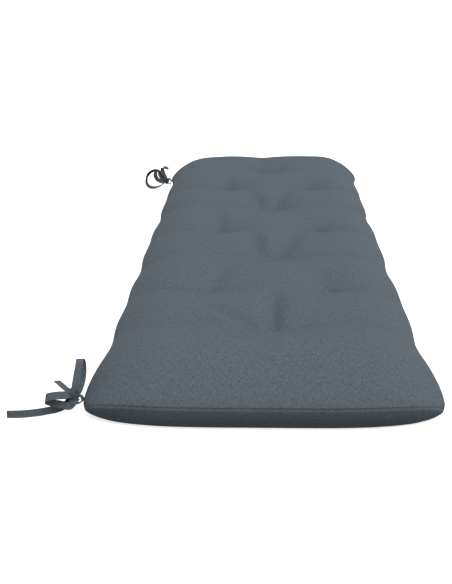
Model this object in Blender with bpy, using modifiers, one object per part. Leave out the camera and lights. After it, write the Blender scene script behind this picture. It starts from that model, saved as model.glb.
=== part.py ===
"""Tufted bench cushion with a tie bow at two of its corners.

Units are metres. X runs across the cushion, Y along it and Z up. The origin is on the flat underside,
below the middle of the cushion. The two ties are on the -X side.
"""

import math

import bmesh
import bpy
import numpy as np
from mathutils import Vector

MM = 0.001

# Filled body, measured seam to seam.
LENGTH = 1.201  # between the middles of the two end seams
WIDTH = 0.492  # between the middles of the two side seams
SEAM_HEIGHT = 0.0415  # the seam above the floor, away from the corners
CROWN_RISE = 0.0485  # top of a pillow above the seam
CROWN_WIDTH = 0.100  # from a side seam to where the crown is full
CROWN_LENGTH_NEAR = 0.100  # from the near end seam to where the crown is full
CROWN_LENGTH_FAR = 0.056  # from the far end seam to where the crown is full
CROWN_POWER_SIDE = 0.68  # power of the rise from a side seam: under 1 is steeper at the seam
CROWN_POWER_NEAR = 0.80
CROWN_POWER_FAR = 0.62
UNDERSIDE_REACH = 0.66  # how far in from a seam the underside meets the floor, as a share of the seam height
UNDERSIDE_POWER = 2.0  # 2 is an ellipse, more is squarer

# Corners: they hold little stuffing, so they sink, sit back from the end and spread sideways.
CORNER_DROOP = 0.0275
CORNER_SETBACK = 0.035
CORNER_SPREAD = 0.0205
CORNER_ROUNDING = 0.010  # how far the tip of a corner is rounded off
CORNER_CURVE_ACROSS = 4.5  # power of the curve along an end seam
CORNER_DROOP_ACROSS = 8.0  # power of the droop along an end seam
CORNER_CURVE_ALONG = 9.0  # power of the curve along a side seam
CORNER_DROOP_ALONG = 16.0  # power of the droop along a side seam
CORNER_LIFT = 0.84  # the underside of a corner above the floor, as a share of the seam height
CORNER_LIFT_ACROSS = 14.0
CORNER_LIFT_ALONG = 15.0
TOUCH_HEIGHT = 0.0003  # cloth this close to the floor rests on it

# Tufting: seven rows. Rows with one tuft near the middle line alternate with rows of two side tufts.
ROW_COUNT = 7
ROW_PITCH = 0.145
TUFT_OFFSET = 0.012  # the tuft pattern sits this far to +X of the middle line
SIDE_TUFT_SPACING = 0.105
PULL_DEPTHS = (0.003, 0.003, 0.011, 0.007, 0.012, 0.007, 0.008)  # wide hollow round a tuft, row by row
PULL_RADIUS_ACROSS = 0.062
PULL_RADIUS_ALONG = 0.045
TUFT_DEPTH = 0.008  # narrow dimple in the middle of that hollow
TUFT_RADIUS = 0.012
# how far each row draws the side seams in, mm: left, right
SIDE_PULLS = (
    (6.5, 6.5),
    (3.5, 1.0),
    (6.0, 6.0),
    (2.0, 1.5),
    (6.0, 6.0),
    (1.5, 1.5),
    (4.0, 4.0),
)
SIDE_PULL_REACH = 0.048  # along the seam, to each side of the row
SIDE_PULL_POWER = 3.0  # how fast the pull fades from the side seam to the middle
CHANNEL_DEPTH = 0.0065  # the valley along a row
CHANNEL_SHARPNESS = 0.16  # radius at the bottom of the valley, as a share of a pillow
CREASE_DEPTH = 0.005  # narrow crease in the bottom of the valley
CREASE_REACH = 0.008
UNDERSIDE_RELIEF = 0.3  # tufts and creases of the underside against those of the top
UNDERSIDE_SPARE = 0.0045  # how far below the floor the underside would hang with no floor under it

# Creases of the rows. Each is given at five places across the cushion and runs smoothly between them.
ROW_PLACES = (-0.225, -0.105, 0.012, 0.130, 0.225)
# shift along the cushion in mm: far left, left, middle, right, far right
ROW_SHIFTS = (
    (12, 16, 0, 18, 12),
    (8, -6, -4, -2, -6),
    (0, 6, -4, 4, -4),
    (2, -2, -6, 8, -2),
    (14, 6, -6, 4, 0),
    (12, 2, -4, 2, -2),
    (6, 10, -6, 10, 6),
)
# share of the full depth at the same places
ROW_DEPTHS = (
    (0.95, 0.75, 1.0, 1.0, 0.95),
    (1.0, 1.15, 0.55, 1.25, 1.05),
    (0.9, 0.7, 1.0, 0.95, 0.95),
    (0.9, 1.1, 0.5, 1.1, 0.95),
    (0.9, 0.7, 1.0, 0.7, 0.9),
    (0.9, 1.0, 0.5, 1.0, 0.9),
    (0.3, 0.5, 1.0, 0.5, 0.3),
)

# Folds that run from a tuft into the pillow behind it. A fold of negative depth is a ridge.
FOLD_SKEW = 0.6  # under 1 puts the deepest part of a fold nearer its tuft
# start x, row, end x, rows to its end, depth, half width
FOLDS = (
    (0.013, 1, 0.019, 0.95, 0.0115, 0.016),
    (-0.010, 1, -0.125, 0.60, 0.0065, 0.012),
    (-0.020, 1, -0.135, 0.42, -0.0030, 0.012),
    (-0.002, 3, -0.034, 0.95, 0.0090, 0.020),
    (0.004, 3, 0.016, 0.80, -0.0025, 0.014),
    (0.026, 3, 0.080, 0.95, 0.0085, 0.022),
    (-0.002, 5, -0.050, 0.90, 0.0085, 0.019),
    (0.010, 5, 0.012, 0.70, -0.0025, 0.012),
    (0.024, 5, 0.062, 0.95, 0.0085, 0.020),
    (0.000, 7, -0.080, 0.60, 0.0070, 0.016),
    (0.015, 7, 0.080, 0.60, 0.0060, 0.016),
    (-0.003, 7, -0.003, 1.00, 0.0090, 0.030),
    (-0.090, 2, -0.060, 0.80, 0.0060, 0.020),
    (-0.090, 4, -0.110, 0.80, 0.0060, 0.020),
    (-0.090, 6, -0.080, 0.75, 0.0070, 0.018),
    (0.105, 2, 0.070, 0.60, 0.0055, 0.034),
)

# Seam: the cloth is drawn in along it, and its grid lines lie evenly over the rounded wall below it.
SEAM_GROOVE = 0.0018  # how far the seam is drawn in
SEAM_GROOVE_REACH = 0.0013  # height above and below the seam over which it fades
BORDER_REACH = 0.008  # distance from a seam over which its shaping fades in or out

# Panel grid: cells, and how the grid lines crowd to the seams, the rows and the tufts.
CELLS_ACROSS = 38
CELLS_ALONG = 76
DENSITY_SAMPLES = 4001
LINE_REACH = 0.010
SEAM_CROWDING = 7.0
ROW_CROWDING = 2.2
TUFT_CROWDING = 0.8

# Ties: a folded cloth tape, tied in a bow. The tables are in millimetres.
TAPE_WIDTH = 11.5
TAPE_THICKNESS = 1.8
TAPE_CELLS_ACROSS = 2
STEPS_PER_ROW = 3  # tape cells from one table row to the next
KNOT_SEGMENTS = 14
KNOT_RINGS = 8

# Each row is a point on the middle of the tape, then the direction across the tape.
# x, y, z, across x, across y, across z
NEAR_UPRIGHT_LOOP = (
    (-271, -553, 32, 1.0, 0.0, 0.0),
    (-269, -557, 41, 1.0, 0.0, 0.1),
    (-267, -555, 50, 1.0, 0.0, 0.1),
    (-265.5, -549, 60, 1.0, 0.0, 0.1),
    (-263.5, -541, 71, 1.0, 0.0, 0.0),
    (-263, -535, 77, 1.0, 0.0, 0.0),
    (-263, -530, 78.5, 1.0, 0.0, 0.0),
    (-262.5, -526, 74, 1.0, 0.0, 0.0),
    (-262.5, -525, 65, 1.0, 0.1, 0.0),
    (-263, -527, 54, 1.0, 0.2, 0.0),
    (-265, -533, 42, 1.0, 0.2, 0.0),
    (-268.5, -543, 32, 1.0, 0.2, 0.0),
    (-271, -550, 32, 1.0, 0.2, 0.0),
)
NEAR_SIDE_LOOP = (
    (-273, -554, 36, 0.0, 0.5, 0.9),
    (-281, -561, 37.5, 0.0, 0.5, 0.9),
    (-291, -566, 40, 0.0, 0.5, 0.9),
    (-301, -568, 39.5, 0.0, 0.5, 0.9),
    (-307.5, -567, 36.5, 0.1, 0.5, 0.9),
    (-310, -563, 30.5, 0.1, 0.4, 0.9),
    (-306, -559.5, 23, 0.1, 0.3, 1.0),
    (-299.5, -561, 21, 0.0, 0.3, 1.0),
    (-292, -561.5, 21, 0.0, 0.3, 1.0),
    (-286, -560, 19, 0.0, 0.2, 1.0),
    (-279, -558, 17, -0.4, 0.3, 0.8),
    (-273, -556, 22.6, -0.6, 0.3, 0.7),
    (-269, -552, 28, -0.7, 0.2, 0.6),
)
NEAR_LONG_TAIL = (
    (-273, -549, 31, 0.0, 0.4, 0.9),
    (-279, -545.5, 21.5, 0.0, 0.2, 1.0),
    (-288, -552, 13.5, 0.0, 0.1, 1.0),
    (-299, -556, 9.8, 0.0, 0.1, 1.0),
    (-310, -558, 8.6, 0.0, 0.2, 1.0),
    (-326, -561, 7.2, 0.0, 0.3, 1.0),
    (-348, -564, 6.4, 0.0, 0.3, 1.0),
    (-370, -565, 6.4, 0.0, 0.3, 1.0),
)
NEAR_SHORT_TAIL = (
    (-274, -553, 37, 0.8, 0.5, -0.3),
    (-283, -549, 39.5, 0.8, 0.5, -0.4),
    (-292, -541, 41.5, 0.8, 0.5, -0.4),
    (-301, -532, 42.5, 0.8, 0.5, -0.4),
)
NEAR_STRAP = (
    (-270, -550, 31, 0.0, 0.9, -0.4),
    (-266, -549, 29.5, 0.0, 0.9, -0.4),
    (-262.7, -549, 27, 0.0, 0.9, -0.4),
    (-261.6, -549, 23, 0.0, 0.9, -0.4),
    (-262.8, -549, 19, 0.0, 0.9, -0.4),
    (-266.5, -550, 17, 0.0, 0.9, -0.4),
    (-272, -553, 17.5, 0.0, 0.9, -0.4),
    (-277, -556, 19, 0.0, 0.9, -0.4),
)
# middle x, y, z, then half sizes
NEAR_KNOT = (-271.5, -552, 34, 8.0, 6.5, 6.5)

FAR_BIG_LOOP = (
    (-276, 546, 19, 0.1, 1.0, 0.0),
    (-284.5, 546, 13.3, 0.1, 1.0, 0.0),
    (-292, 545, 8.8, 0.1, 1.0, 0.0),
    (-302, 544, 5.2, 0.1, 1.0, 0.1),
    (-311, 543, 3.8, 0.2, 0.9, 0.2),
    (-321.5, 543, 5.5, 0.3, 0.9, 0.3),
    (-328.5, 543, 11.5, 0.4, 0.9, 0.3),
    (-331.3, 543, 21, 0.4, 0.9, 0.0),
    (-329.3, 544, 33, 0.4, 0.9, 0.0),
    (-325.5, 545, 40.5, 0.3, 0.9, 0.0),
    (-319.5, 546, 47, 0.2, 1.0, 0.0),
    (-311, 547, 51.5, 0.1, 1.0, 0.0),
    (-302, 548, 53, 0.1, 1.0, 0.0),
    (-293, 549, 51, 0.1, 1.0, 0.0),
    (-284, 548, 42, 0.2, 1.0, -0.1),
    (-277, 547, 30, 0.2, 1.0, -0.2),
)
FAR_SMALL_LOOP = (
    (-277, 541, 23, 0.2, 0.9, 0.4),
    (-284, 540, 22, 0.2, 0.9, 0.4),
    (-292, 539, 22.5, 0.3, 0.9, 0.4),
    (-300.5, 538, 26, 0.5, 0.8, 0.3),
    (-306, 537, 33, 0.7, 0.7, 0.1),
    (-307.5, 537, 40.5, 0.8, 0.6, 0.0),
    (-304.5, 538, 48, 0.6, 0.7, 0.3),
    (-297, 539, 52, 0.3, 0.8, 0.5),
    (-289.5, 540, 49, 0.3, 0.8, 0.5),
    (-284, 541, 41, 0.4, 0.8, 0.4),
    (-278, 543, 30, 0.4, 0.8, 0.3),
)
FAR_TAIL = (
    (-276, 542, 27, 0.9, 0.3, 0.1),
    (-276.5, 545, 31.5, 0.9, 0.3, 0.1),
    (-279.5, 548, 37, 0.9, 0.3, 0.1),
    (-283.3, 552, 44, 0.9, 0.3, 0.1),
    (-285.3, 555, 51, 0.9, 0.3, 0.1),
    (-284.6, 557, 56, 0.7, 0.5, 0.3),
    (-280, 557, 58.5, 0.4, 0.8, 0.4),
    (-274.5, 556, 57.5, 0.2, 0.9, 0.3),
    (-268, 555, 54.5, 0.2, 0.9, 0.3),
)
FAR_STUB = (
    (-276, 542, 20, 0.3, 1.0, 0.1),
    (-283, 539, 17, 0.3, 1.0, 0.1),
    (-288, 537, 11.5, 0.3, 1.0, 0.1),
)
FAR_STRAP = (
    (-272, 547, 26, 0.0, 1.0, 0.2),
    (-266, 547, 28, 0.0, 1.0, 0.1),
    (-261.8, 547, 23.8, 0.0, 1.0, 0.0),
    (-262.2, 547, 17, 0.0, 1.0, -0.3),
    (-267, 546, 13.5, 0.0, 0.9, -0.4),
    (-275, 546, 16, 0.0, 0.9, -0.4),
)
FAR_KNOT = (-274.5, 545, 22, 7.5, 6.5, 6.5)


def row_y(row):
    """Place of a row along the cushion. Rows count from 1 at the near end."""
    return (row - (ROW_COUNT + 1) / 2) * ROW_PITCH


def tuft_columns(row):
    if row % 2:
        return (TUFT_OFFSET,)
    return (TUFT_OFFSET - SIDE_TUFT_SPACING, TUFT_OFFSET + SIDE_TUFT_SPACING)


def edge_rise(distance, width, power):
    """Share of the full crown at this distance from a seam."""
    share = np.clip(distance / width, 0.0, 1.0)
    return np.sin(share * math.pi / 2) ** power


def plan(u, v):
    """Place of panel points (u, v), each from -1 to 1, seen from above."""
    across = WIDTH / 2 / CORNER_ROUNDING
    along = LENGTH / 2 / CORNER_ROUNDING
    rounding = CORNER_ROUNDING * np.abs(u) ** across * np.abs(v) ** along
    half_width = WIDTH / 2 + CORNER_SPREAD * np.abs(v) ** CORNER_CURVE_ALONG - rounding
    y = v * (LENGTH / 2 - CORNER_SETBACK * np.abs(u) ** CORNER_CURVE_ACROSS - rounding)
    pull = np.zeros_like(y)
    for row, (left, right) in enumerate(SIDE_PULLS, 1):
        pull += np.where(u < 0, left, right) * MM * np.exp(-(((y - row_y(row)) / SIDE_PULL_REACH) ** 2))
    x = u * (half_width - pull * np.abs(u) ** SIDE_PULL_POWER)
    return x, y


def seam_height(u, v):
    droop = np.abs(u) ** CORNER_DROOP_ACROSS * np.abs(v) ** CORNER_DROOP_ALONG
    return SEAM_HEIGHT - CORNER_DROOP * droop


def seam_distances(u, v):
    """Distances from the side seam and from the end seam."""
    return (1 - np.abs(u)) * WIDTH / 2, (1 - np.abs(v)) * LENGTH / 2


def across_row(x, values):
    """A value that is given at the row places and runs smoothly between them."""
    place = np.interp(x, ROW_PLACES, range(len(ROW_PLACES)))
    before = np.minimum(place.astype(int), len(ROW_PLACES) - 2)
    share = place - before
    share = share * share * (3 - 2 * share)
    values = np.array(values, float)
    return values[before] * (1 - share) + values[before + 1] * share


def channel(x, y):
    """Depth of the valleys and creases along the rows."""
    depth = np.zeros_like(x)
    full_arch = math.sqrt(1 + CHANNEL_SHARPNESS**2) - CHANNEL_SHARPNESS
    for row in range(1, ROW_COUNT + 1):
        offset = np.abs(y - row_y(row) - across_row(x, ROW_SHIFTS[row - 1]) * MM)
        share = np.minimum(offset / (ROW_PITCH / 2), 1.0)
        arch = np.sqrt(np.sin(share * math.pi / 2) ** 2 + CHANNEL_SHARPNESS**2)
        valley = CHANNEL_DEPTH * (1 - (arch - CHANNEL_SHARPNESS) / full_arch)
        crease = CREASE_DEPTH * np.exp(-offset / CREASE_REACH)
        depth += across_row(x, ROW_DEPTHS[row - 1]) * (valley + crease)
    return depth


def tufts(x, y):
    """Depth of the hollows and dimples round the stitches."""
    depth = np.zeros_like(x)
    for row in range(1, ROW_COUNT + 1):
        for column in tuft_columns(row):
            across, along = x - column, y - row_y(row)
            hollow = (across / PULL_RADIUS_ACROSS) ** 2 + (along / PULL_RADIUS_ALONG) ** 2
            depth += PULL_DEPTHS[row - 1] * np.exp(-hollow)
            depth += TUFT_DEPTH * np.exp(-np.hypot(across, along) / TUFT_RADIUS)
    return depth


def folds(x, y):
    depth = np.zeros_like(x)
    for start_x, row, end_x, rows_long, fold_depth, half_width in FOLDS:
        along_x, along_y = end_x - start_x, rows_long * ROW_PITCH
        length = math.hypot(along_x, along_y)
        offset_x, offset_y = x - start_x, y - row_y(row)
        share = np.clip((offset_x * along_x + offset_y * along_y) / length**2, 0.0, 1.0)
        across = (offset_x * along_y - offset_y * along_x) / length
        swell = np.sin(share**FOLD_SKEW * math.pi)
        depth += fold_depth * swell * np.exp(-((across / half_width) ** 2))
    return depth


def sewn_in(u, v, x, y, height):
    """Points with the thin groove of the seam drawn in."""
    side, end = seam_distances(u, v)
    groove = SEAM_GROOVE * np.exp(-(((height - seam_height(u, v)) / SEAM_GROOVE_REACH) ** 2))
    x = x - np.sign(u) * groove * np.exp(-side / BORDER_REACH)
    y = y - np.sign(v) * groove * np.exp(-end / BORDER_REACH)
    return x, y, height


def top_points(u, v):
    x, y = plan(u, v)
    side, end = seam_distances(u, v)
    near = edge_rise(end, CROWN_LENGTH_NEAR, CROWN_POWER_NEAR)
    far = edge_rise(end, CROWN_LENGTH_FAR, CROWN_POWER_FAR)
    crown = edge_rise(side, CROWN_WIDTH, CROWN_POWER_SIDE) * np.where(v < 0, near, far)
    relief = channel(x, y) + tufts(x, y) + folds(x, y)
    return sewn_in(u, v, x, y, seam_height(u, v) + crown * (CROWN_RISE - relief))


def rolled(distance):
    """Distance from the seam, spread so that grid lines lie evenly over the rounded wall."""
    reach = UNDERSIDE_REACH * SEAM_HEIGHT
    share = np.clip(distance / reach, 0.0, 1.0)
    return distance - reach * (share - 1 + np.cos(share * math.pi / 2))


def underside_points(u, v):
    side, end = seam_distances(u, v)
    side_spread = (rolled(side) - side) * np.clip(end / BORDER_REACH, 0.0, 1.0)
    end_spread = (rolled(end) - end) * np.clip(side / BORDER_REACH, 0.0, 1.0)
    u = u - np.sign(u) * side_spread / (WIDTH / 2)
    v = v - np.sign(v) * end_spread / (LENGTH / 2)
    x, y = plan(u, v)
    seam = seam_height(u, v)
    side, end = seam_distances(u, v)
    reach = UNDERSIDE_REACH * seam
    distance = np.minimum(side, end)
    share = np.clip(distance / reach, 0.0, 1.0)
    drop = (1 - (1 - share) ** UNDERSIDE_POWER) ** (1 / UNDERSIDE_POWER)
    relief = UNDERSIDE_RELIEF * (channel(x, y) + tufts(x, y))
    lift = CORNER_LIFT * seam * np.abs(u) ** CORNER_LIFT_ACROSS * np.abs(v) ** CORNER_LIFT_ALONG
    hanging = seam - drop * (seam + UNDERSIDE_SPARE - lift - relief * share)
    height = np.maximum(lift, hanging)
    return sewn_in(u, v, x, y, np.where(height < TOUCH_HEIGHT, 0.0, height))


def grid_lines(half, cells, spots):
    """Places of the grid lines from -half to half, closer together at the spots.

    Each spot is a place and how strongly the lines crowd to it.
    """
    fine = np.linspace(-half, half, DENSITY_SAMPLES)
    density = np.ones_like(fine)
    for place, crowding in spots:
        density += crowding * np.exp(-np.abs(fine - place) / LINE_REACH)
    count = np.concatenate([[0.0], np.cumsum((density[1:] + density[:-1]) / 2)])
    return np.interp(np.linspace(0.0, count[-1], cells + 1), count, fine)


def panel(mesh, place):
    """One cloth panel: a flat grid, then each point in its place on the stuffed cushion."""
    across = [(side * WIDTH / 2, SEAM_CROWDING) for side in (-1, 1)]
    across += [(column, TUFT_CROWDING) for column in tuft_columns(1) + tuft_columns(2)]
    along = [(end * LENGTH / 2, SEAM_CROWDING) for end in (-1, 1)]
    along += [(row_y(row), ROW_CROWDING) for row in range(1, ROW_COUNT + 1)]
    columns = grid_lines(WIDTH / 2, CELLS_ACROSS, across) / (WIDTH / 2)
    rows = grid_lines(LENGTH / 2, CELLS_ALONG, along) / (LENGTH / 2)
    x, y, z = place(*np.meshgrid(columns, rows))
    points = bmesh.ops.create_grid(mesh, x_segments=CELLS_ACROSS, y_segments=CELLS_ALONG, size=1)["verts"]
    for point in points:
        column = round((point.co.x + 1) / 2 * CELLS_ACROSS)
        row = round((point.co.y + 1) / 2 * CELLS_ALONG)
        point.co = (x[row, column], y[row, column], z[row, column])
    return points


def cloth_material(name, colour, roughness):
    material = bpy.data.materials.new(name)
    material.use_nodes = True
    surface = material.node_tree.nodes["Principled BSDF"]
    surface.inputs["Base Color"].default_value = (*colour, 1)
    surface.inputs["Roughness"].default_value = roughness
    surface.inputs["Metallic"].default_value = 0.0
    return material


def make_object(name, mesh, collection):
    data = bpy.data.meshes.new(name)
    bmesh.ops.recalc_face_normals(mesh, faces=mesh.faces)
    mesh.to_mesh(data)
    mesh.free()
    data.shade_smooth()
    made = bpy.data.objects.new(name, data)
    collection.objects.link(made)
    return made


def make_cushion(collection):
    mesh = bmesh.new()
    panel(mesh, top_points)
    lower = panel(mesh, underside_points)
    lower_faces = {face for point in lower for face in point.link_faces}
    bmesh.ops.reverse_faces(mesh, faces=list(lower_faces))
    border = [point for point in mesh.verts if point.is_boundary]
    bmesh.ops.remove_doubles(mesh, verts=border, dist=0.0001)
    cushion = make_object("cushion", mesh, collection)
    cushion.data.materials.append(cloth_material("slate_cloth", (0.115, 0.142, 0.165), 0.9))


def curve_through(table, steps):
    """Points along a smooth curve through the table's rows."""
    rows = np.array(table, float)
    rows = np.vstack([2 * rows[0] - rows[1], rows, 2 * rows[-1] - rows[-2]])
    points = []
    for place in np.linspace(0, len(table) - 1, steps + 1):
        first = min(int(place), len(table) - 2)
        t = place - first
        a, b, c, d = rows[first : first + 4]
        square = a - 2.5 * b + 2 * c - d / 2
        cube = 1.5 * (b - c) + (d - a) / 2
        points.append(b + (c - a) * t / 2 + square * t**2 + cube * t**3)
    return np.array(points)


def make_tape(name, table, collection):
    """A flat strip of tape along the table's points."""
    steps = STEPS_PER_ROW * (len(table) - 1)
    points = curve_through(table, steps)
    middle = points[:, :3]
    along = np.gradient(middle, axis=0)
    across = points[:, 3:]
    across = across - along * (np.sum(across * along, axis=1) / np.sum(along * along, axis=1))[:, None]
    across = across / np.linalg.norm(across, axis=1)[:, None]
    mesh = bmesh.new()
    for point in bmesh.ops.create_grid(mesh, x_segments=steps, y_segments=TAPE_CELLS_ACROSS, size=1)["verts"]:
        step = round((point.co.x + 1) / 2 * steps)
        point.co = Vector((middle[step] + across[step] * point.co.y * TAPE_WIDTH / 2) * MM)
    tape = make_object(name, mesh, collection)
    thickness = tape.modifiers.new("thickness", "SOLIDIFY")
    thickness.thickness = TAPE_THICKNESS * MM
    thickness.offset = 0.0
    thickness.use_even_offset = True
    return tape


def make_knot(name, middle_and_radii, collection):
    mesh = bmesh.new()
    middle = Vector(middle_and_radii[:3]) * MM
    radii = Vector(middle_and_radii[3:]) * MM
    ball = bmesh.ops.create_uvsphere(mesh, u_segments=KNOT_SEGMENTS, v_segments=KNOT_RINGS, radius=1)
    for point in ball["verts"]:
        point.co = point.co * radii + middle
    return make_object(name, mesh, collection)


def make_tie(name, tapes, knot, collection, joined, material):
    """The knot with each tape joined to it in one solid."""
    tie = make_knot(name, knot, collection)
    tie.data.materials.append(material)
    for number, table in enumerate(tapes):
        tape = make_tape(f"{name}_tape_{number}", table, joined)
        tape.display_type = "WIRE"
        tape.hide_render = True
        union = tie.modifiers.new(f"join_{number}", "BOOLEAN")
        union.operation = "UNION"
        union.solver = "EXACT"
        union.use_self = True
        union.object = tape
    return tie


def clear_scene():
    for old in list(bpy.data.objects):
        bpy.data.objects.remove(old, do_unlink=True)


def new_collection(name):
    collection = bpy.data.collections.new(name)
    bpy.context.scene.collection.children.link(collection)
    return collection


def main():
    clear_scene()
    collection = new_collection("bench_cushion")
    joined = new_collection("joined_shapes")
    joined.hide_render = True
    make_cushion(collection)
    near = (NEAR_UPRIGHT_LOOP, NEAR_SIDE_LOOP, NEAR_LONG_TAIL, NEAR_SHORT_TAIL, NEAR_STRAP)
    far = (FAR_BIG_LOOP, FAR_SMALL_LOOP, FAR_TAIL, FAR_STUB, FAR_STRAP)
    near_material = cloth_material("slate_tape", (0.105, 0.13, 0.152), 0.9)
    far_material = cloth_material("slate_tape_far", (0.105, 0.13, 0.152), 0.9)
    make_tie("tie_near", near, NEAR_KNOT, collection, joined, near_material)
    make_tie("tie_far", far, FAR_KNOT, collection, joined, far_material)


main()
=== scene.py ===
"""Tufted bench cushion with a tie bow at two of its corners, dressed for its picture.

Units are metres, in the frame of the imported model: X across the cushion, Y along it, Z up.
"""

import math

import bmesh
import bpy
import numpy as np
from mathutils import Matrix, Vector

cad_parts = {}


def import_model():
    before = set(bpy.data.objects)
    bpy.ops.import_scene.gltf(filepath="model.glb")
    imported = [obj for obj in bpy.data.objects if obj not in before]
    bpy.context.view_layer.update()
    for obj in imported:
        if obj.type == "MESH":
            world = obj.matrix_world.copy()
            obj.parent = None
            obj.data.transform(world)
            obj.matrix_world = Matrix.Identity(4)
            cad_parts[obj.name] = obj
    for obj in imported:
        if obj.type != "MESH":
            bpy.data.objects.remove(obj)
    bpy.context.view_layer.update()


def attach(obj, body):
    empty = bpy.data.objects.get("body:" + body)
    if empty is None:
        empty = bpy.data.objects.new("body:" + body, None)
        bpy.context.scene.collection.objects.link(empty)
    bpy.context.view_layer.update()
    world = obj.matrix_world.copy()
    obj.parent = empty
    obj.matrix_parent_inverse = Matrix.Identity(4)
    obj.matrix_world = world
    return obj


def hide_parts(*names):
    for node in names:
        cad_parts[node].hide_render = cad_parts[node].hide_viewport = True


MM = 0.001

# Filled body, measured seam to seam, as in the part.
LENGTH = 1.201
WIDTH = 0.492
SEAM_HEIGHT = 0.0415
CROWN_RISE = 0.0485
CROWN_WIDTH = 0.100
CROWN_LENGTH_NEAR = 0.100
CROWN_LENGTH_FAR = 0.056
CROWN_POWER_SIDE = 0.68
CROWN_POWER_NEAR = 0.80
CROWN_POWER_FAR = 0.62
UNDERSIDE_REACH = 0.66
UNDERSIDE_POWER = 2.0

# Corners
CORNER_DROOP = 0.0275
CORNER_SETBACK = 0.035
CORNER_SPREAD = 0.0205
CORNER_ROUNDING = 0.010
CORNER_CURVE_ACROSS = 4.5
CORNER_DROOP_ACROSS = 8.0
CORNER_CURVE_ALONG = 9.0
CORNER_DROOP_ALONG = 16.0
CORNER_LIFT = 0.84
CORNER_LIFT_ACROSS = 14.0
CORNER_LIFT_ALONG = 15.0
TOUCH_HEIGHT = 0.0003  # cloth this close to the floor rests on it

# Tufting
ROW_COUNT = 7
ROW_PITCH = 0.145
TUFT_OFFSET = 0.012
SIDE_TUFT_SPACING = 0.105
PULL_DEPTHS = (0.003, 0.003, 0.011, 0.007, 0.012, 0.007, 0.008)
PULL_RADIUS_ACROSS = 0.062
PULL_RADIUS_ALONG = 0.045
TUFT_DEPTH = 0.008
TUFT_RADIUS = 0.012
# how far each row draws the side seams in, mm: left, right
SIDE_PULLS = (
    (6.5, 6.5),
    (3.5, 1.0),
    (6.0, 6.0),
    (2.0, 1.5),
    (6.0, 6.0),
    (1.5, 1.5),
    (4.0, 4.0),
)
SIDE_PULL_REACH = 0.048
SIDE_PULL_POWER = 3.0
CHANNEL_DEPTH = 0.0065
CHANNEL_SHARPNESS = 0.16
CREASE_DEPTH = 0.005
CREASE_REACH = 0.008
UNDERSIDE_RELIEF = 0.3
UNDERSIDE_SPARE = 0.0045

# Creases of the rows. Each is given at five places across the cushion and runs smoothly between them.
ROW_PLACES = (-0.225, -0.105, 0.012, 0.130, 0.225)
# shift along the cushion in mm: far left, left, middle, right, far right
ROW_SHIFTS = (
    (12, 16, 0, 18, 12),
    (8, -6, -4, -2, -6),
    (0, 6, -4, 4, -4),
    (2, -2, -6, 8, -2),
    (14, 6, -6, 4, 0),
    (12, 2, -4, 2, -2),
    (6, 10, -6, 10, 6),
)
# share of the full depth at the same places
ROW_DEPTHS = (
    (0.95, 0.75, 1.0, 1.0, 0.95),
    (1.0, 1.15, 0.55, 1.25, 1.05),
    (0.9, 0.7, 1.0, 0.95, 0.95),
    (0.9, 1.1, 0.5, 1.1, 0.95),
    (0.9, 0.7, 1.0, 0.7, 0.9),
    (0.9, 1.0, 0.5, 1.0, 0.9),
    (0.3, 0.5, 1.0, 0.5, 0.3),
)

# Folds that run from a tuft into the pillow behind it. A fold of negative depth is a ridge.
FOLD_SKEW = 0.6
# start x, row, end x, rows to its end, depth, half width
FOLDS = (
    (0.013, 1, 0.019, 0.95, 0.0115, 0.016),
    (-0.010, 1, -0.125, 0.60, 0.0065, 0.012),
    (-0.020, 1, -0.135, 0.42, -0.0030, 0.012),
    (-0.002, 3, -0.034, 0.95, 0.0090, 0.020),
    (0.004, 3, 0.016, 0.80, -0.0025, 0.014),
    (0.026, 3, 0.080, 0.95, 0.0085, 0.022),
    (-0.002, 5, -0.050, 0.90, 0.0085, 0.019),
    (0.010, 5, 0.012, 0.70, -0.0025, 0.012),
    (0.024, 5, 0.062, 0.95, 0.0085, 0.020),
    (0.000, 7, -0.080, 0.60, 0.0070, 0.016),
    (0.015, 7, 0.080, 0.60, 0.0060, 0.016),
    (-0.003, 7, -0.003, 1.00, 0.0090, 0.030),
    (-0.090, 2, -0.060, 0.80, 0.0060, 0.020),
    (-0.090, 4, -0.110, 0.80, 0.0060, 0.020),
    (-0.090, 6, -0.080, 0.75, 0.0070, 0.018),
    (0.105, 2, 0.070, 0.60, 0.0055, 0.034),
)

# Cloth irregularities
SLACK_HEIGHT = 0.0016  # slow rise and fall of a pillow's top
SLACK_LENGTH = 0.09
SLACK_SEED = 7.0
SEAM_PUCKER = 0.0010  # small gathers along the seam
SEAM_PUCKER_LENGTH = 0.012
SEAM_PUCKER_REACH = 0.020
SEAM_PUCKER_SEED = 3.0
SEAM_GROOVE = 0.0018
SEAM_GROOVE_REACH = 0.0013
BORDER_REACH = 0.008

# Panel grids
PANEL_CELLS = (150, 320)  # across, along
DENSITY_SAMPLES = 4001
LINE_REACH = 0.010
SEAM_CROWDING = 7.0
ROW_CROWDING = 1.2
TUFT_CROWDING = 0.6
BORDER_MERGE = 0.00005

# Constants of the fixed, random-looking lattice
LATTICE_ACROSS = 127.1
LATTICE_ALONG = 311.7
LATTICE_SEED = 74.7
LATTICE_SPREAD = 43758.5453

# Ties, in millimetres. The near side loop and the far loops lie a little differently than in the part.
TAPE_WIDTH = 11.5
TAPE_THICKNESS = 1.8
STEPS_PER_ROW = 10
# the folded tape's upper half in cross-section, in shares of its half width and half thickness
SECTION_ACROSS = (-1, -0.97, -0.86, -0.7, -0.35, 0, 0.35, 0.7, 0.86, 0.97, 1)
SECTION_THROUGH = (0, 0.72, 0.95, 0.80, 0.98, 1.0, 0.98, 0.80, 0.95, 0.72, 0)
WRAP_ROWS = 12
WRAP_TURNS = 1.15
WRAP_CLIMB = 2.0
WRAP_TILT = 0.25
KNOT_SEGMENTS = (32, 20)

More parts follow.
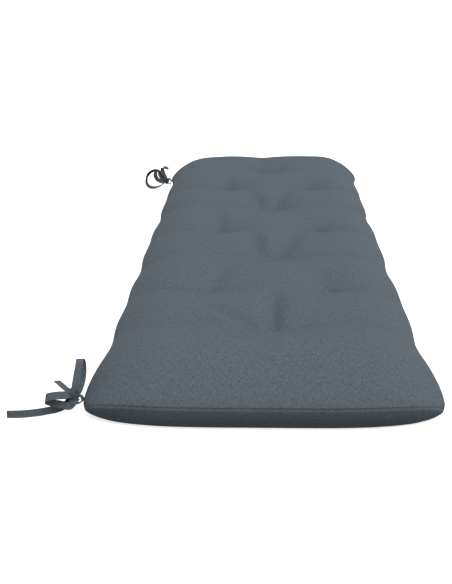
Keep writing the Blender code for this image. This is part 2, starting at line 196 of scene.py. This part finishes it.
# Routes of the tapes. A row is a place on the middle line and the direction across the tape there:
# x, y, z, across x, across y, across z
NEAR_UPRIGHT_LOOP = (
    (-271, -553, 32, 1.0, 0.0, 0.0),
    (-269, -557, 41, 1.0, 0.0, 0.1),
    (-267, -555, 50, 1.0, 0.0, 0.1),
    (-265.5, -549, 60, 1.0, 0.0, 0.1),
    (-263.5, -541, 71, 1.0, 0.0, 0.0),
    (-263, -535, 77, 1.0, 0.0, 0.0),
    (-263, -530, 78.5, 1.0, 0.0, 0.0),
    (-262.5, -526, 74, 1.0, 0.0, 0.0),
    (-262.5, -525, 65, 1.0, 0.1, 0.0),
    (-263, -527, 54, 1.0, 0.2, 0.0),
    (-265, -533, 42, 1.0, 0.2, 0.0),
    (-268.5, -543, 32, 1.0, 0.2, 0.0),
    (-271, -550, 32, 1.0, 0.2, 0.0),
)
NEAR_SIDE_LOOP = (
    (-273, -554, 36, 0.0, 0.5, 0.9),
    (-281, -561, 37.5, 0.0, 0.5, 0.9),
    (-291, -566, 40, 0.0, 0.5, 0.9),
    (-301, -568, 39.5, 0.0, 0.5, 0.9),
    (-307.5, -567, 36.5, 0.1, 0.5, 0.9),
    (-310, -563, 30.5, 0.1, 0.4, 0.9),
    (-306.5, -560, 25, 0.1, 0.3, 1.0),
    (-300, -561.5, 23.2, 0.0, 0.3, 1.0),
    (-292.5, -562, 22.6, 0.0, 0.3, 1.0),
    (-286, -560, 19, 0.0, 0.2, 1.0),
    (-279, -558, 17, -0.4, 0.3, 0.8),
    (-273, -556, 22.6, -0.6, 0.3, 0.7),
    (-269, -552, 28, -0.7, 0.2, 0.6),
)
NEAR_LONG_TAIL = (
    (-273, -549, 31, 0.0, 0.4, 0.9),
    (-279, -545.5, 21.5, 0.0, 0.2, 1.0),
    (-288, -552, 13.5, 0.0, 0.1, 1.0),
    (-299, -556, 9.8, 0.0, 0.1, 1.0),
    (-310, -558, 8.6, 0.0, 0.2, 1.0),
    (-326, -561, 7.2, 0.0, 0.3, 1.0),
    (-348, -564, 6.4, 0.0, 0.3, 1.0),
    (-370, -565, 6.4, 0.0, 0.3, 1.0),
)
NEAR_SHORT_TAIL = (
    (-274, -553, 37, 0.8, 0.5, -0.3),
    (-283, -549, 39.5, 0.8, 0.5, -0.4),
    (-292, -541, 41.5, 0.8, 0.5, -0.4),
    (-301, -532, 42.5, 0.8, 0.5, -0.4),
)
NEAR_STRAP = (
    (-270, -550, 31, 0.0, 0.9, -0.4),
    (-266, -549, 29.5, 0.0, 0.9, -0.4),
    (-262.7, -549, 27, 0.0, 0.9, -0.4),
    (-261.6, -549, 23, 0.0, 0.9, -0.4),
    (-262.8, -549, 19, 0.0, 0.9, -0.4),
    (-266.5, -550, 17, 0.0, 0.9, -0.4),
    (-272, -553, 17.5, 0.0, 0.9, -0.4),
    (-277, -556, 19, 0.0, 0.9, -0.4),
)
# Knots: middle x, y, z, then half sizes along x, y, z
NEAR_KNOT = (-271.5, -552, 34, 7.0, 5.5, 5.0)

FAR_BIG_LOOP = (
    (-276, 546, 19, 0.1, 1.0, 0.0),
    (-284.5, 546, 13.3, 0.1, 1.0, 0.0),
    (-292, 545, 8.8, 0.1, 1.0, 0.0),
    (-302, 544, 5.2, 0.1, 1.0, 0.1),
    (-311, 543, 3.8, 0.2, 0.9, 0.2),
    (-321.5, 543, 5.5, 0.3, 0.9, 0.3),
    (-328.5, 543, 11.5, 0.4, 0.9, 0.3),
    (-331.3, 543, 21, 0.4, 0.9, 0.0),
    (-329.3, 544, 33, 0.4, 0.9, 0.0),
    (-325.5, 545, 40.5, 0.7, 0.8, -0.2),
    (-319.5, 546, 47, 0.6, 0.8, -0.5),
    (-311, 547, 51.5, 0.3, 0.8, -0.8),
    (-302, 548, 53, 0.2, 0.8, -0.8),
    (-293, 549, 51, 0.1, 0.9, -0.5),
    (-284, 548, 42, 0.2, 1.0, -0.1),
    (-277, 547, 30, 0.2, 1.0, -0.2),
)
FAR_SMALL_LOOP = (
    (-277, 541, 23, 0.2, 0.8, 0.6),
    (-284, 540, 22, 0.2, 0.6, 0.8),
    (-291, 539, 23.5, 0.3, 0.5, 0.8),
    (-297.5, 538, 28, 0.7, 0.4, 0.6),
    (-301.5, 537, 34, 0.9, 0.3, 0.3),
    (-303.5, 537, 41, 0.9, 0.3, 0.0),
    (-303, 538, 47.5, 0.7, 0.5, -0.4),
    (-299, 541, 51, 0.4, 0.6, -0.7),
    (-294.5, 545, 47, 0.6, 0.6, -0.3),
    (-291.5, 545, 39, 0.7, 0.6, -0.1),
    (-286, 544, 30, 0.6, 0.6, 0.3),
    (-277, 543, 25, 0.6, 0.6, 0.3),
)
FAR_TAIL = (
    (-276, 542, 27, 0.9, 0.3, 0.1),
    (-276.5, 545, 31.5, 0.9, 0.3, 0.1),
    (-279.5, 548, 37, 0.9, 0.3, 0.1),
    (-283.3, 552, 44, 0.9, 0.3, 0.1),
    (-285.3, 555, 51, 0.9, 0.3, 0.1),
    (-284.6, 557, 56, 0.7, 0.5, 0.3),
    (-280, 557, 58.5, 0.4, 0.8, 0.4),
    (-274.5, 556, 57.5, 0.2, 0.9, 0.3),
    (-268, 555, 54.5, 0.2, 0.9, 0.3),
)
FAR_STUB = (
    (-276, 542, 20, 0.3, 1.0, 0.1),
    (-283, 539, 17, 0.3, 1.0, 0.1),
    (-288, 537, 11.5, 0.3, 1.0, 0.1),
)
FAR_STRAP = (
    (-272, 547, 26, 0.0, 1.0, 0.2),
    (-266, 547, 28, 0.0, 1.0, 0.1),
    (-261.8, 547, 23.8, 0.0, 1.0, 0.0),
    (-262.2, 547, 17, 0.0, 1.0, -0.3),
    (-267, 546, 13.5, 0.0, 0.9, -0.4),
    (-275, 546, 16, 0.0, 0.9, -0.4),
)
FAR_KNOT = (-274.5, 545, 22, 6.5, 5.5, 5.0)

# Camera, worked out from the outline of the seams in the photograph.
PICTURE_HEIGHT = 584
FOCAL_PIXELS = 709.4
SHIFT_PIXELS = 12.0
CAMERA_PLACE = (0.0009, -1.4040, 0.6038)
CAMERA_YAW = math.radians(-2.26)
CAMERA_DROP = math.radians(25.53)
CAMERA_ROLL = math.radians(-0.95)
SENSOR_HEIGHT = 36.0
VIEW_DISTANCE = 200.0

# Cloth. Colours are linear, and a thread is the distance from one yarn to the next.
CUSHION_COLOUR = (0.086, 0.106, 0.123)
CUSHION_THREAD = 0.0007
NEAR_TAPE_COLOUR = (0.088, 0.108, 0.125)
# The far tape's colour is painted shade: the same tape cloth made darker to stand in for the shade that
# falls round the far bow.
FAR_TAPE_SHADED_COLOUR = (0.067, 0.083, 0.096)
TAPE_THREAD = 0.0006
# stretch across, stretch along, bumps per metre, seed
WARP_SLUBS = (1.0, 0.22, 1000.0, 1.0)
WEFT_SLUBS = (0.25, 1.0, 700.0, 2.0)
PATCHES = (1.0, 0.5, 190.0, 3.0)
SLUB_DETAIL = 0.5
WARP_TONE = 0.90
WEFT_TONE = 0.45
PATCH_TONE = 0.22
WEAVE_RELIEF = 0.5
SLUB_RELIEF = 0.8
BUMP_STRENGTH = 0.45
BUMP_DISTANCE = 0.0004
CLOTH_ROUGHNESS = 0.9
ROUGHNESS_SPREAD = 0.15
SHEEN = 0.02
SHEEN_ROUGHNESS = 0.5
SPECULAR_LEVEL = 0.1

# Light and floor
WHITE = (1, 1, 1, 1)
SKY_STRENGTH = 0.70
GROUND_STRENGTH = 0.0
HORIZON_BLEND = 0.35
SUN_STRENGTH = 2.15
SUN_ANGLE = math.radians(30)
SUN_DIRECTION = (0.50, -0.36, 1.0)
FLOOR_SIZE = 40.0
FLOOR_DROP = 0.0003
FLOOR_COLOUR = (0.86, 0.86, 0.86, 1)
FLOOR_GLOW = 0.65
FLOOR_ROUGHNESS = 0.95


def row_y(row):
    """Place of a row along the cushion. Rows count from 1 at the near end."""
    return (row - (ROW_COUNT + 1) / 2) * ROW_PITCH


def tuft_columns(row):
    if row % 2:
        return (TUFT_OFFSET,)
    return (TUFT_OFFSET - SIDE_TUFT_SPACING, TUFT_OFFSET + SIDE_TUFT_SPACING)


def edge_rise(distance, width, power):
    """Share of the full crown at this distance from a seam."""
    share = np.clip(distance / width, 0.0, 1.0)
    return np.sin(share * math.pi / 2) ** power


def plan(u, v):
    """Place of panel points (u, v), each from -1 to 1, seen from above."""
    across = WIDTH / 2 / CORNER_ROUNDING
    along = LENGTH / 2 / CORNER_ROUNDING
    rounding = CORNER_ROUNDING * np.abs(u) ** across * np.abs(v) ** along
    half_width = WIDTH / 2 + CORNER_SPREAD * np.abs(v) ** CORNER_CURVE_ALONG - rounding
    y = v * (LENGTH / 2 - CORNER_SETBACK * np.abs(u) ** CORNER_CURVE_ACROSS - rounding)
    pull = np.zeros_like(y)
    for row, (left, right) in enumerate(SIDE_PULLS, 1):
        pull += np.where(u < 0, left, right) * MM * np.exp(-(((y - row_y(row)) / SIDE_PULL_REACH) ** 2))
    x = u * (half_width - pull * np.abs(u) ** SIDE_PULL_POWER)
    return x, y


def seam_height(u, v):
    droop = np.abs(u) ** CORNER_DROOP_ACROSS * np.abs(v) ** CORNER_DROOP_ALONG
    return SEAM_HEIGHT - CORNER_DROOP * droop


def seam_distances(u, v):
    """Distances from the side seam and from the end seam."""
    return (1 - np.abs(u)) * WIDTH / 2, (1 - np.abs(v)) * LENGTH / 2


def across_row(x, values):
    """A value that is given at the row places and runs smoothly between them."""
    place = np.interp(x, ROW_PLACES, range(len(ROW_PLACES)))
    before = np.minimum(place.astype(int), len(ROW_PLACES) - 2)
    share = place - before
    share = share * share * (3 - 2 * share)
    values = np.array(values, float)
    return values[before] * (1 - share) + values[before + 1] * share


def channel(x, y):
    """Depth of the valleys and creases along the rows."""
    depth = np.zeros_like(x)
    full_arch = math.sqrt(1 + CHANNEL_SHARPNESS**2) - CHANNEL_SHARPNESS
    for row in range(1, ROW_COUNT + 1):
        offset = np.abs(y - row_y(row) - across_row(x, ROW_SHIFTS[row - 1]) * MM)
        share = np.minimum(offset / (ROW_PITCH / 2), 1.0)
        arch = np.sqrt(np.sin(share * math.pi / 2) ** 2 + CHANNEL_SHARPNESS**2)
        valley = CHANNEL_DEPTH * (1 - (arch - CHANNEL_SHARPNESS) / full_arch)
        crease = CREASE_DEPTH * np.exp(-offset / CREASE_REACH)
        depth += across_row(x, ROW_DEPTHS[row - 1]) * (valley + crease)
    return depth


def tufts(x, y):
    """Depth of the hollows and dimples round the stitches."""
    depth = np.zeros_like(x)
    for row in range(1, ROW_COUNT + 1):
        for column in tuft_columns(row):
            across, along = x - column, y - row_y(row)
            hollow = (across / PULL_RADIUS_ACROSS) ** 2 + (along / PULL_RADIUS_ALONG) ** 2
            depth += PULL_DEPTHS[row - 1] * np.exp(-hollow)
            depth += TUFT_DEPTH * np.exp(-np.hypot(across, along) / TUFT_RADIUS)
    return depth


def folds(x, y):
    depth = np.zeros_like(x)
    for start_x, row, end_x, rows_long, fold_depth, half_width in FOLDS:
        along_x, along_y = end_x - start_x, rows_long * ROW_PITCH
        length = math.hypot(along_x, along_y)
        offset_x, offset_y = x - start_x, y - row_y(row)
        share = np.clip((offset_x * along_x + offset_y * along_y) / length**2, 0.0, 1.0)
        across = (offset_x * along_y - offset_y * along_x) / length
        swell = np.sin(share**FOLD_SKEW * math.pi)
        depth += fold_depth * swell * np.exp(-((across / half_width) ** 2))
    return depth


def lattice(i, j, seed):
    """A fixed, random-looking value from -1 to 1 for each lattice point."""
    value = np.sin(i * LATTICE_ACROSS + j * LATTICE_ALONG + seed * LATTICE_SEED) * LATTICE_SPREAD
    return 2 * (value - np.floor(value)) - 1


def smooth_noise(x, y, length, seed):
    """Smooth noise from -1 to 1 over the cloth, with bumps about this long."""
    across, along = x / length, y / length
    left, below = np.floor(across), np.floor(along)
    share_x, share_y = across - left, along - below
    share_x = share_x**2 * (3 - 2 * share_x)
    share_y = share_y**2 * (3 - 2 * share_y)
    lower = lattice(left, below, seed) * (1 - share_x) + lattice(left + 1, below, seed) * share_x
    upper = lattice(left, below + 1, seed) * (1 - share_x) + lattice(left + 1, below + 1, seed) * share_x
    return lower * (1 - share_y) + upper * share_y


def seam_gathers(u, v, x, y):
    """Small gathers that fade away from the seam."""
    side, end = seam_distances(u, v)
    distance = np.minimum(side, end)
    pucker = SEAM_PUCKER * smooth_noise(x, y, SEAM_PUCKER_LENGTH, SEAM_PUCKER_SEED)
    return pucker * np.exp(-distance / SEAM_PUCKER_REACH)


def sewn_in(u, v, x, y, height):
    """Points with the thin groove of the seam drawn in."""
    side, end = seam_distances(u, v)
    groove = SEAM_GROOVE * np.exp(-(((height - seam_height(u, v)) / SEAM_GROOVE_REACH) ** 2))
    x = x - np.sign(u) * groove * np.exp(-side / BORDER_REACH)
    y = y - np.sign(v) * groove * np.exp(-end / BORDER_REACH)
    return x, y, height


def top_points(u, v):
    x, y = plan(u, v)
    side, end = seam_distances(u, v)
    near = edge_rise(end, CROWN_LENGTH_NEAR, CROWN_POWER_NEAR)
    far = edge_rise(end, CROWN_LENGTH_FAR, CROWN_POWER_FAR)
    crown = edge_rise(side, CROWN_WIDTH, CROWN_POWER_SIDE) * np.where(v < 0, near, far)
    relief = channel(x, y) + tufts(x, y) + folds(x, y)
    slack = SLACK_HEIGHT * smooth_noise(x, y, SLACK_LENGTH, SLACK_SEED)
    distance = np.minimum(side, end)
    height = seam_height(u, v) + crown * (CROWN_RISE - relief + slack)
    height += seam_gathers(u, v, x, y) * np.clip(distance / SEAM_PUCKER_REACH, 0, 1)
    return sewn_in(u, v, x, y, height)


def rolled(distance):
    """Distance from the seam, spread so that grid lines lie evenly over the rounded wall."""
    reach = UNDERSIDE_REACH * SEAM_HEIGHT
    share = np.clip(distance / reach, 0.0, 1.0)
    return distance - reach * (share - 1 + np.cos(share * math.pi / 2))


def underside_points(u, v):
    side, end = seam_distances(u, v)
    side_spread = (rolled(side) - side) * np.clip(end / BORDER_REACH, 0.0, 1.0)
    end_spread = (rolled(end) - end) * np.clip(side / BORDER_REACH, 0.0, 1.0)
    u = u - np.sign(u) * side_spread / (WIDTH / 2)
    v = v - np.sign(v) * end_spread / (LENGTH / 2)
    x, y = plan(u, v)
    seam = seam_height(u, v)
    side, end = seam_distances(u, v)
    reach = UNDERSIDE_REACH * seam
    distance = np.minimum(side, end)
    share = np.clip(distance / reach, 0.0, 1.0)
    drop = (1 - (1 - share) ** UNDERSIDE_POWER) ** (1 / UNDERSIDE_POWER)
    relief = UNDERSIDE_RELIEF * (channel(x, y) + tufts(x, y))
    lift = CORNER_LIFT * seam * np.abs(u) ** CORNER_LIFT_ACROSS * np.abs(v) ** CORNER_LIFT_ALONG
    hanging = seam - drop * (seam + UNDERSIDE_SPARE - lift - relief * share)
    height = np.maximum(lift, hanging)
    return sewn_in(u, v, x, y, np.where(height < TOUCH_HEIGHT, 0.0, height))


def grid_lines(half, cells, spots):
    """Places of the grid lines from -half to half, closer together at the spots."""
    fine = np.linspace(-half, half, DENSITY_SAMPLES)
    density = np.ones_like(fine)
    for place, crowding in spots:
        density += crowding * np.exp(-np.abs(fine - place) / LINE_REACH)
    count = np.concatenate([[0.0], np.cumsum((density[1:] + density[:-1]) / 2)])
    return np.interp(np.linspace(0.0, count[-1], cells + 1), count, fine)


def panel_lines(cells):
    across = [(side * WIDTH / 2, SEAM_CROWDING) for side in (-1, 1)]
    across += [(column, TUFT_CROWDING) for column in tuft_columns(1) + tuft_columns(2)]
    along = [(end * LENGTH / 2, SEAM_CROWDING) for end in (-1, 1)]
    along += [(row_y(row), ROW_CROWDING) for row in range(1, ROW_COUNT + 1)]
    columns = grid_lines(WIDTH / 2, cells[0], across) / (WIDTH / 2)
    rows = grid_lines(LENGTH / 2, cells[1], along) / (LENGTH / 2)
    return np.meshgrid(columns, rows)


def length_along(x, y, z, axis):
    """Distance over the cloth from its middle line, along the grid lines of one axis."""
    steps = np.sqrt(np.diff(x, axis=axis) ** 2 + np.diff(y, axis=axis) ** 2 + np.diff(z, axis=axis) ** 2)
    first = np.zeros_like(np.take(x, [0], axis=axis))
    length = np.concatenate([first, np.cumsum(steps, axis=axis)], axis=axis)
    return length - np.take(length, [x.shape[axis] // 2], axis=axis)


def panel(mesh, cells, place):
    """One cloth panel as a grid, with each point's place on the flat cloth kept as its UV."""
    x, y, z = place(*panel_lines(cells))
    cloth_u = length_along(x, y, z, 1)
    cloth_v = length_along(x, y, z, 0)
    flat = mesh.loops.layers.uv.verify()
    rows, columns = x.shape
    points = [[mesh.verts.new((x[j, i], y[j, i], z[j, i])) for i in range(columns)] for j in range(rows)]
    faces = []
    for j in range(rows - 1):
        for i in range(columns - 1):
            corners = ((j, i), (j, i + 1), (j + 1, i + 1), (j + 1, i))
            face = mesh.faces.new([points[b][a] for b, a in corners])
            for loop, (b, a) in zip(face.loops, corners):
                loop[flat].uv = (cloth_u[b, a], cloth_v[b, a])
            faces.append(face)
    return faces


def new_object(name, mesh, material):
    data = bpy.data.meshes.new(name)
    mesh.to_mesh(data)
    mesh.free()
    data.shade_smooth()
    data.materials.append(material)
    made = bpy.data.objects.new(name, data)
    bpy.context.scene.collection.objects.link(made)
    return made


def make_cushion(material):
    mesh = bmesh.new()
    panel(mesh, PANEL_CELLS, top_points)
    lower = panel(mesh, PANEL_CELLS, underside_points)
    bmesh.ops.reverse_faces(mesh, faces=lower)
    border = [point for point in mesh.verts if point.is_boundary]
    bmesh.ops.remove_doubles(mesh, verts=border, dist=BORDER_MERGE)
    cushion = new_object("cushion_cover", mesh, material)
    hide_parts("cushion")
    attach(cushion, "root")
    return cushion


def curve_through(table, steps):
    """Points along a smooth curve through the table's rows."""
    rows = np.array(table, float)
    rows = np.vstack([2 * rows[0] - rows[1], rows, 2 * rows[-1] - rows[-2]])
    points = []
    for place in np.linspace(0, len(table) - 1, steps + 1):
        first = min(int(place), len(table) - 2)
        t = place - first
        a, b, c, d = rows[first : first + 4]
        square = a - 2.5 * b + 2 * c - d / 2
        cube = 1.5 * (b - c) + (d - a) / 2
        points.append(b + (c - a) * t / 2 + square * t**2 + cube * t**3)
    return np.array(points)


def tape_section():
    """Cross-section of the folded tape: across and through, for each corner round it."""
    half, thin = TAPE_WIDTH / 2, TAPE_THICKNESS / 2
    across, through = np.array(SECTION_ACROSS) * half, np.array(SECTION_THROUGH) * thin
    upper = list(zip(across, through))
    lower = list(zip(across[-2:0:-1], -through[-2:0:-1]))
    return np.array(upper + lower)


def tape(mesh, table):
    """A strip of folded tape along the table's points, with its UV in metres along and across."""
    steps = STEPS_PER_ROW * (len(table) - 1)
    points = curve_through(table, steps)
    middle = points[:, :3]
    along = np.gradient(middle, axis=0)
    along /= np.linalg.norm(along, axis=1)[:, None]
    across = points[:, 3:]
    across = across - along * np.sum(across * along, axis=1)[:, None]
    across /= np.linalg.norm(across, axis=1)[:, None]
    normal = np.cross(along, across)
    section = tape_section()
    length = np.concatenate([[0.0], np.cumsum(np.linalg.norm(np.diff(middle, axis=0), axis=1))])
    flat = mesh.loops.layers.uv.verify()
    rings = []
    for step in range(steps + 1):
        ring = middle[step] + section[:, :1] * across[step] + section[:, 1:] * normal[step]
        rings.append([mesh.verts.new(place * MM) for place in ring])
    count = len(section)
    for step in range(steps):
        for i in range(count):
            k = (i + 1) % count
            corners = ((step, i), (step, k), (step + 1, k), (step + 1, i))
            face = mesh.faces.new([rings[ring][spot] for ring, spot in corners])
            for loop, (ring, spot) in zip(face.loops, corners):
                loop[flat].uv = (section[spot, 0] * MM, length[ring] * MM)
    for ring in (rings[0][::-1], rings[-1]):
        face = mesh.faces.new(ring)
        for loop in face.loops:
            loop[flat].uv = (0.0, 0.0)
    return length[-1] * MM


def wrap(knot_size):
    """Table of the tape's turn round the knot."""
    x, y, z, radius_x, radius_y, _ = knot_size
    rows = []
    for share in np.linspace(-0.5, 0.5, WRAP_ROWS):
        angle = 2 * math.pi * WRAP_TURNS * share + math.pi / 2
        out_x, out_y = math.cos(angle), math.sin(angle)
        place = (x + radius_x * out_x, y + radius_y * out_y, z + WRAP_CLIMB * 2 * share)
        rows.append((*place, WRAP_TILT * out_x, WRAP_TILT * out_y, 1.0))
    return rows


def knot(mesh, knot_size):
    middle = Vector(knot_size[:3]) * MM
    radii = Vector(knot_size[3:]) * MM
    around, upright = KNOT_SEGMENTS
    ball = bmesh.ops.create_uvsphere(mesh, u_segments=around, v_segments=upright, radius=1)
    for point in ball["verts"]:
        point.co = point.co * radii + middle


def make_tie(name, tapes, knot_size, node, material):
    mesh = bmesh.new()
    length = sum(tape(mesh, table) for table in (*tapes, wrap(knot_size)))
    knot(mesh, knot_size)
    bmesh.ops.recalc_face_normals(mesh, faces=mesh.faces)
    tie = new_object(name, mesh, material)
    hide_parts(node)
    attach(tie, "root")
    print(name, "tape length", round(length, 3))
    return tie


class Nodes:
    """Short calls for building a material's nodes."""

    def __init__(self, name):
        self.material = bpy.data.materials.new(name)
        self.material.use_nodes = True
        self.tree = self.material.node_tree
        self.surface = self.tree.nodes["Principled BSDF"]

    def add(self, kind, **inputs):
        node = self.tree.nodes.new(kind)
        for key, value in inputs.items():
            setattr(node, key, value)
        return node

    def set(self, name, value):
        self.surface.inputs[name].default_value = value

    def link(self, start, end):
        self.tree.links.new(start, end)

    def math(self, operation, a, b=None):
        node = self.add("ShaderNodeMath", operation=operation)
        for socket, value in zip(node.inputs, (a, b)):
            if value is None:
                continue
            if isinstance(value, (int, float)):
                socket.default_value = value
            else:
                self.link(value, socket)
        return node.outputs[0]


def cloth(name, colour, thread):
    """Plain woven cloth of uneven yarn, laid out along the cloth's own directions."""
    made = Nodes(name)
    uv = made.add("ShaderNodeUVMap").outputs[0]
    split = made.add("ShaderNodeSeparateXYZ")
    made.link(uv, split.inputs[0])
    across, along = split.outputs[0], split.outputs[1]

    def slubs(stretch_x, stretch_y, scale, seed):
        place = made.add("ShaderNodeCombineXYZ")
        made.link(made.math("MULTIPLY", across, stretch_x), place.inputs[0])
        made.link(made.math("MULTIPLY", along, stretch_y), place.inputs[1])
        place.inputs[2].default_value = seed
        pattern = made.add("ShaderNodeTexNoise")
        pattern.inputs["Scale"].default_value = scale
        pattern.inputs["Detail"].default_value = SLUB_DETAIL
        made.link(place.outputs[0], pattern.inputs["Vector"])
        return made.math("SUBTRACT", pattern.outputs[0], 0.5)

    warp, weft, patches = slubs(*WARP_SLUBS), slubs(*WEFT_SLUBS), slubs(*PATCHES)
    tone = made.math("ADD", made.math("MULTIPLY", warp, WARP_TONE), made.math("MULTIPLY", weft, WEFT_TONE))
    tone = made.math("ADD", tone, made.math("MULTIPLY", patches, PATCH_TONE))
    tone = made.math("ADD", tone, 1.0)
    tint = made.add("ShaderNodeVectorMath", operation="SCALE")
    tint.inputs[0].default_value = colour
    made.link(tone, tint.inputs["Scale"])
    made.link(tint.outputs[0], made.surface.inputs["Base Color"])

    over = made.math("SINE", made.math("MULTIPLY", across, math.pi / thread))
    under = made.math("SINE", made.math("MULTIPLY", along, math.pi / thread))
    weave = made.math("MULTIPLY", over, under)
    height = made.math("MULTIPLY", weave, WEAVE_RELIEF)
    height = made.math("ADD", height, made.math("MULTIPLY", warp, SLUB_RELIEF))
    height = made.math("ADD", height, made.math("MULTIPLY", weft, SLUB_RELIEF))
    bump = made.add("ShaderNodeBump")
    bump.inputs["Strength"].default_value = BUMP_STRENGTH
    bump.inputs["Distance"].default_value = BUMP_DISTANCE
    made.link(height, bump.inputs["Height"])
    made.link(bump.outputs[0], made.surface.inputs["Normal"])
    rough = made.math("ADD", made.math("MULTIPLY", warp, ROUGHNESS_SPREAD), CLOTH_ROUGHNESS)
    made.link(rough, made.surface.inputs["Roughness"])
    made.set("Sheen Weight", SHEEN)
    made.set("Sheen Roughness", SHEEN_ROUGHNESS)
    made.set("Specular IOR Level", SPECULAR_LEVEL)
    return made.material


def make_camera():
    data = bpy.data.cameras.new("camera")
    camera = bpy.data.objects.new("camera", data)
    bpy.context.scene.collection.objects.link(camera)
    data.sensor_fit = "VERTICAL"
    data.sensor_height = SENSOR_HEIGHT
    data.lens = SENSOR_HEIGHT * FOCAL_PIXELS / PICTURE_HEIGHT
    data.shift_x = -SHIFT_PIXELS / PICTURE_HEIGHT
    data.clip_end = VIEW_DISTANCE
    level = Vector((math.sin(CAMERA_YAW), math.cos(CAMERA_YAW), 0))
    forward = level * math.cos(CAMERA_DROP) + Vector((0, 0, -math.sin(CAMERA_DROP)))
    right = Vector((math.cos(CAMERA_YAW), -math.sin(CAMERA_YAW), 0))
    up = right.cross(forward)
    rolled_right = right * math.cos(CAMERA_ROLL) + up * math.sin(CAMERA_ROLL)
    rolled_up = up * math.cos(CAMERA_ROLL) - right * math.sin(CAMERA_ROLL)
    matrix = Matrix((rolled_right, rolled_up, -forward)).transposed().to_4x4()
    matrix.translation = CAMERA_PLACE
    camera.matrix_world = matrix
    bpy.context.scene.camera = camera


def make_floor():
    mesh = bmesh.new()
    bmesh.ops.create_grid(mesh, x_segments=2, y_segments=2, size=FLOOR_SIZE / 2)
    paper = Nodes("floor_paper")
    paper.set("Base Color", FLOOR_COLOUR)
    paper.set("Roughness", FLOOR_ROUGHNESS)
    paper.set("Emission Color", WHITE)
    paper.set("Emission Strength", FLOOR_GLOW)
    floor = new_object("floor", mesh, paper.material)
    floor.location.z = -FLOOR_DROP
    floor.visible_diffuse = False


def make_light():
    world = bpy.data.worlds.new("studio")
    world.use_nodes = True
    bpy.context.scene.world = world
    nodes, links = world.node_tree.nodes, world.node_tree.links
    direction = nodes.new("ShaderNodeTexCoord")
    split = nodes.new("ShaderNodeSeparateXYZ")
    links.new(direction.outputs["Generated"], split.inputs[0])
    strength = nodes.new("ShaderNodeMapRange")
    strength.inputs["From Min"].default_value = -HORIZON_BLEND
    strength.inputs["From Max"].default_value = 0.0
    strength.inputs["To Min"].default_value = GROUND_STRENGTH
    strength.inputs["To Max"].default_value = SKY_STRENGTH
    links.new(split.outputs["Z"], strength.inputs["Value"])
    sky = nodes["Background"]
    sky.inputs["Color"].default_value = WHITE
    links.new(strength.outputs[0], sky.inputs["Strength"])
    data = bpy.data.lights.new("key", "SUN")
    data.energy = SUN_STRENGTH
    data.angle = SUN_ANGLE
    key = bpy.data.objects.new("key", data)
    bpy.context.scene.collection.objects.link(key)
    key.rotation_euler = Vector(SUN_DIRECTION).to_track_quat("Z", "Y").to_euler()
    bpy.context.scene.view_settings.view_transform = "Standard"


def main():
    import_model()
    make_camera()
    make_floor()
    make_light()
    make_cushion(cloth("slate_cloth", CUSHION_COLOUR, CUSHION_THREAD))
    near_cloth = cloth("slate_tape", NEAR_TAPE_COLOUR, TAPE_THREAD)
    # The far bow's cloth is a darker copy of the tape cloth, painted shade for the shade round the far
    # bow.
    far_shaded_cloth = cloth("slate_tape_far", FAR_TAPE_SHADED_COLOUR, TAPE_THREAD)
    near = (NEAR_UPRIGHT_LOOP, NEAR_SIDE_LOOP, NEAR_LONG_TAIL, NEAR_SHORT_TAIL, NEAR_STRAP)
    far = (FAR_BIG_LOOP, FAR_SMALL_LOOP, FAR_TAIL, FAR_STUB, FAR_STRAP)
    make_tie("bow_near", near, NEAR_KNOT, "tie_near", near_cloth)
    make_tie("bow_far", far, FAR_KNOT, "tie_far", far_shaded_cloth)


main()
